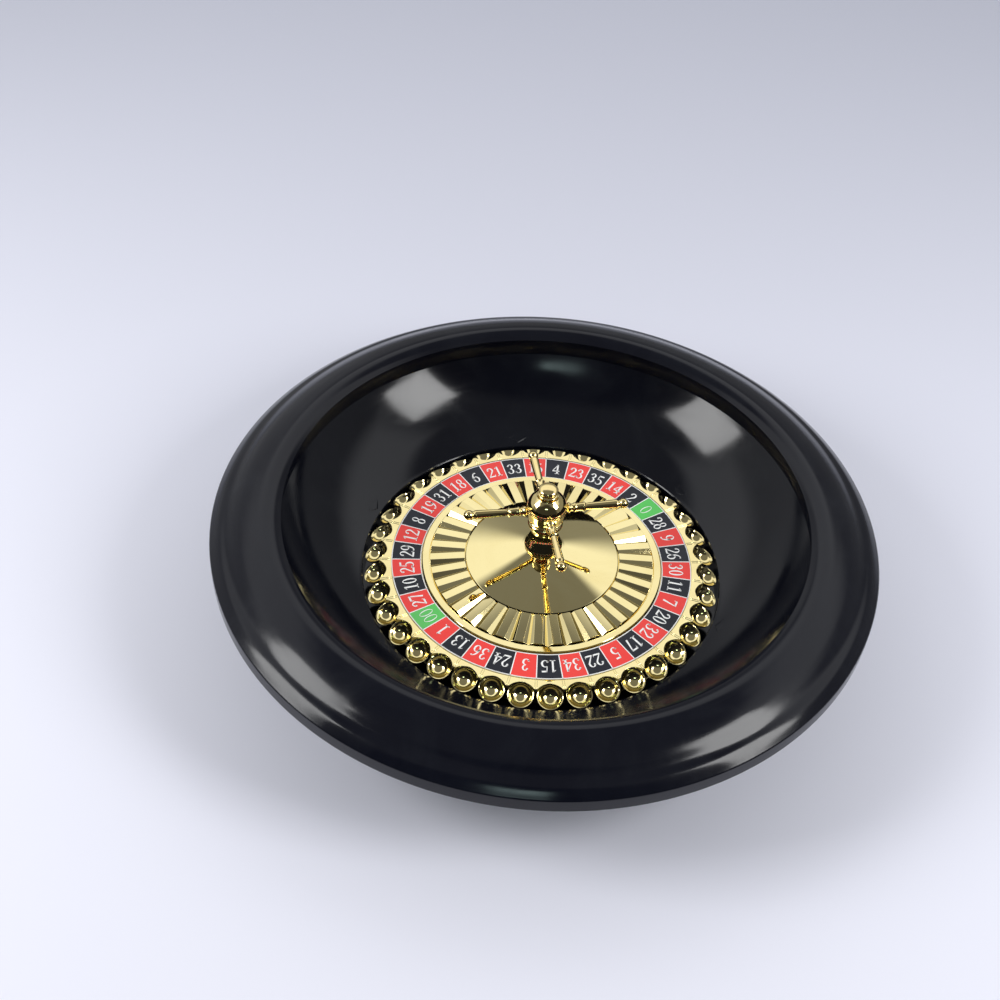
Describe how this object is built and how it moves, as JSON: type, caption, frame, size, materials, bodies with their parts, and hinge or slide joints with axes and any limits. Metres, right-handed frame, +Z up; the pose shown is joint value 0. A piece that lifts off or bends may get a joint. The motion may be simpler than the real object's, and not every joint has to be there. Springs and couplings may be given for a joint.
{
  "type": "roulette wheel",
  "caption": "Tabletop roulette wheel: black bowl with a rolled rim, and a gold rotor with ball pockets, numbers and a four-armed turret that spins on a ball bearing.",
  "frame": {"origin": "on the table under the middle of the wheel, at the bottom of the feet", "axes": "+Z up along the spindle, the axis that the rotor turns about; the bowl is round, so X and Y are free"},
  "size_m": [0.406, 0.406, 0.0983],
  "materials": {
    "black_abs": "moulded, glossy black",
    "carrier_abs": "moulded, plain black",
    "gold_metallised": "vacuum-metallised gold, mirror bright",
    "number_print": "printed red, black and green, clear coated",
    "foot_rubber": "plain moulded",
    "steel": "ground",
    "cage_brass": "pressed"
  },
  "bodies": {
    "bowl_body": {"rim_ring": "black_abs", "bowl": "black_abs", "base_pan": "black_abs", "foot_1": "foot_rubber", "foot_2": "foot_rubber", "foot_3": "foot_rubber", "foot_4": "foot_rubber", "foot_screw_1": "steel", "foot_screw_2": "steel", "foot_screw_3": "steel", "foot_screw_4": "steel", "spindle": "steel", "spindle_washer": "steel", "spindle_top_nut": "steel", "spindle_base_nut": "steel", "bearing_inner_race": "steel"},
    "rotor": {"rotor_carrier": "carrier_abs", "bearing_outer_race": "steel", "number_ring": "number_print", "pocket_ring": "gold_metallised", "fluted_disc": "gold_metallised", "centre_cone": "gold_metallised", "turret_column": "gold_metallised", "turret_bulb": "gold_metallised", "turret_finial": "gold_metallised", "turret_arm_1": "gold_metallised", "turret_arm_2": "gold_metallised", "turret_arm_3": "gold_metallised", "turret_arm_4": "gold_metallised", "carrier_screw_1": "steel", "carrier_screw_2": "steel", "carrier_screw_3": "steel", "carrier_screw_4": "steel"},
    "ball_cage": {"bearing_cage": "cage_brass", "bearing_ball_1": "steel", "bearing_ball_2": "steel", "bearing_ball_3": "steel", "bearing_ball_4": "steel", "bearing_ball_5": "steel", "bearing_ball_6": "steel", "bearing_ball_7": "steel"}
  },
  "joints": [
    {"name": "rotor_spin", "type": "hinge", "parent": "bowl_body", "child": "rotor", "pos_m": [0, 0, 0.025], "axis": [0, 0, 1], "continuous": true},
    {"name": "cage_spin", "type": "hinge", "parent": "bowl_body", "child": "ball_cage", "pos_m": [0, 0, 0.025], "axis": [0, 0, 1], "continuous": true}
  ],
  "couplings": [
    {"joint": "cage_spin", "follows": "rotor_spin", "ratio": 0.611}
  ]
}
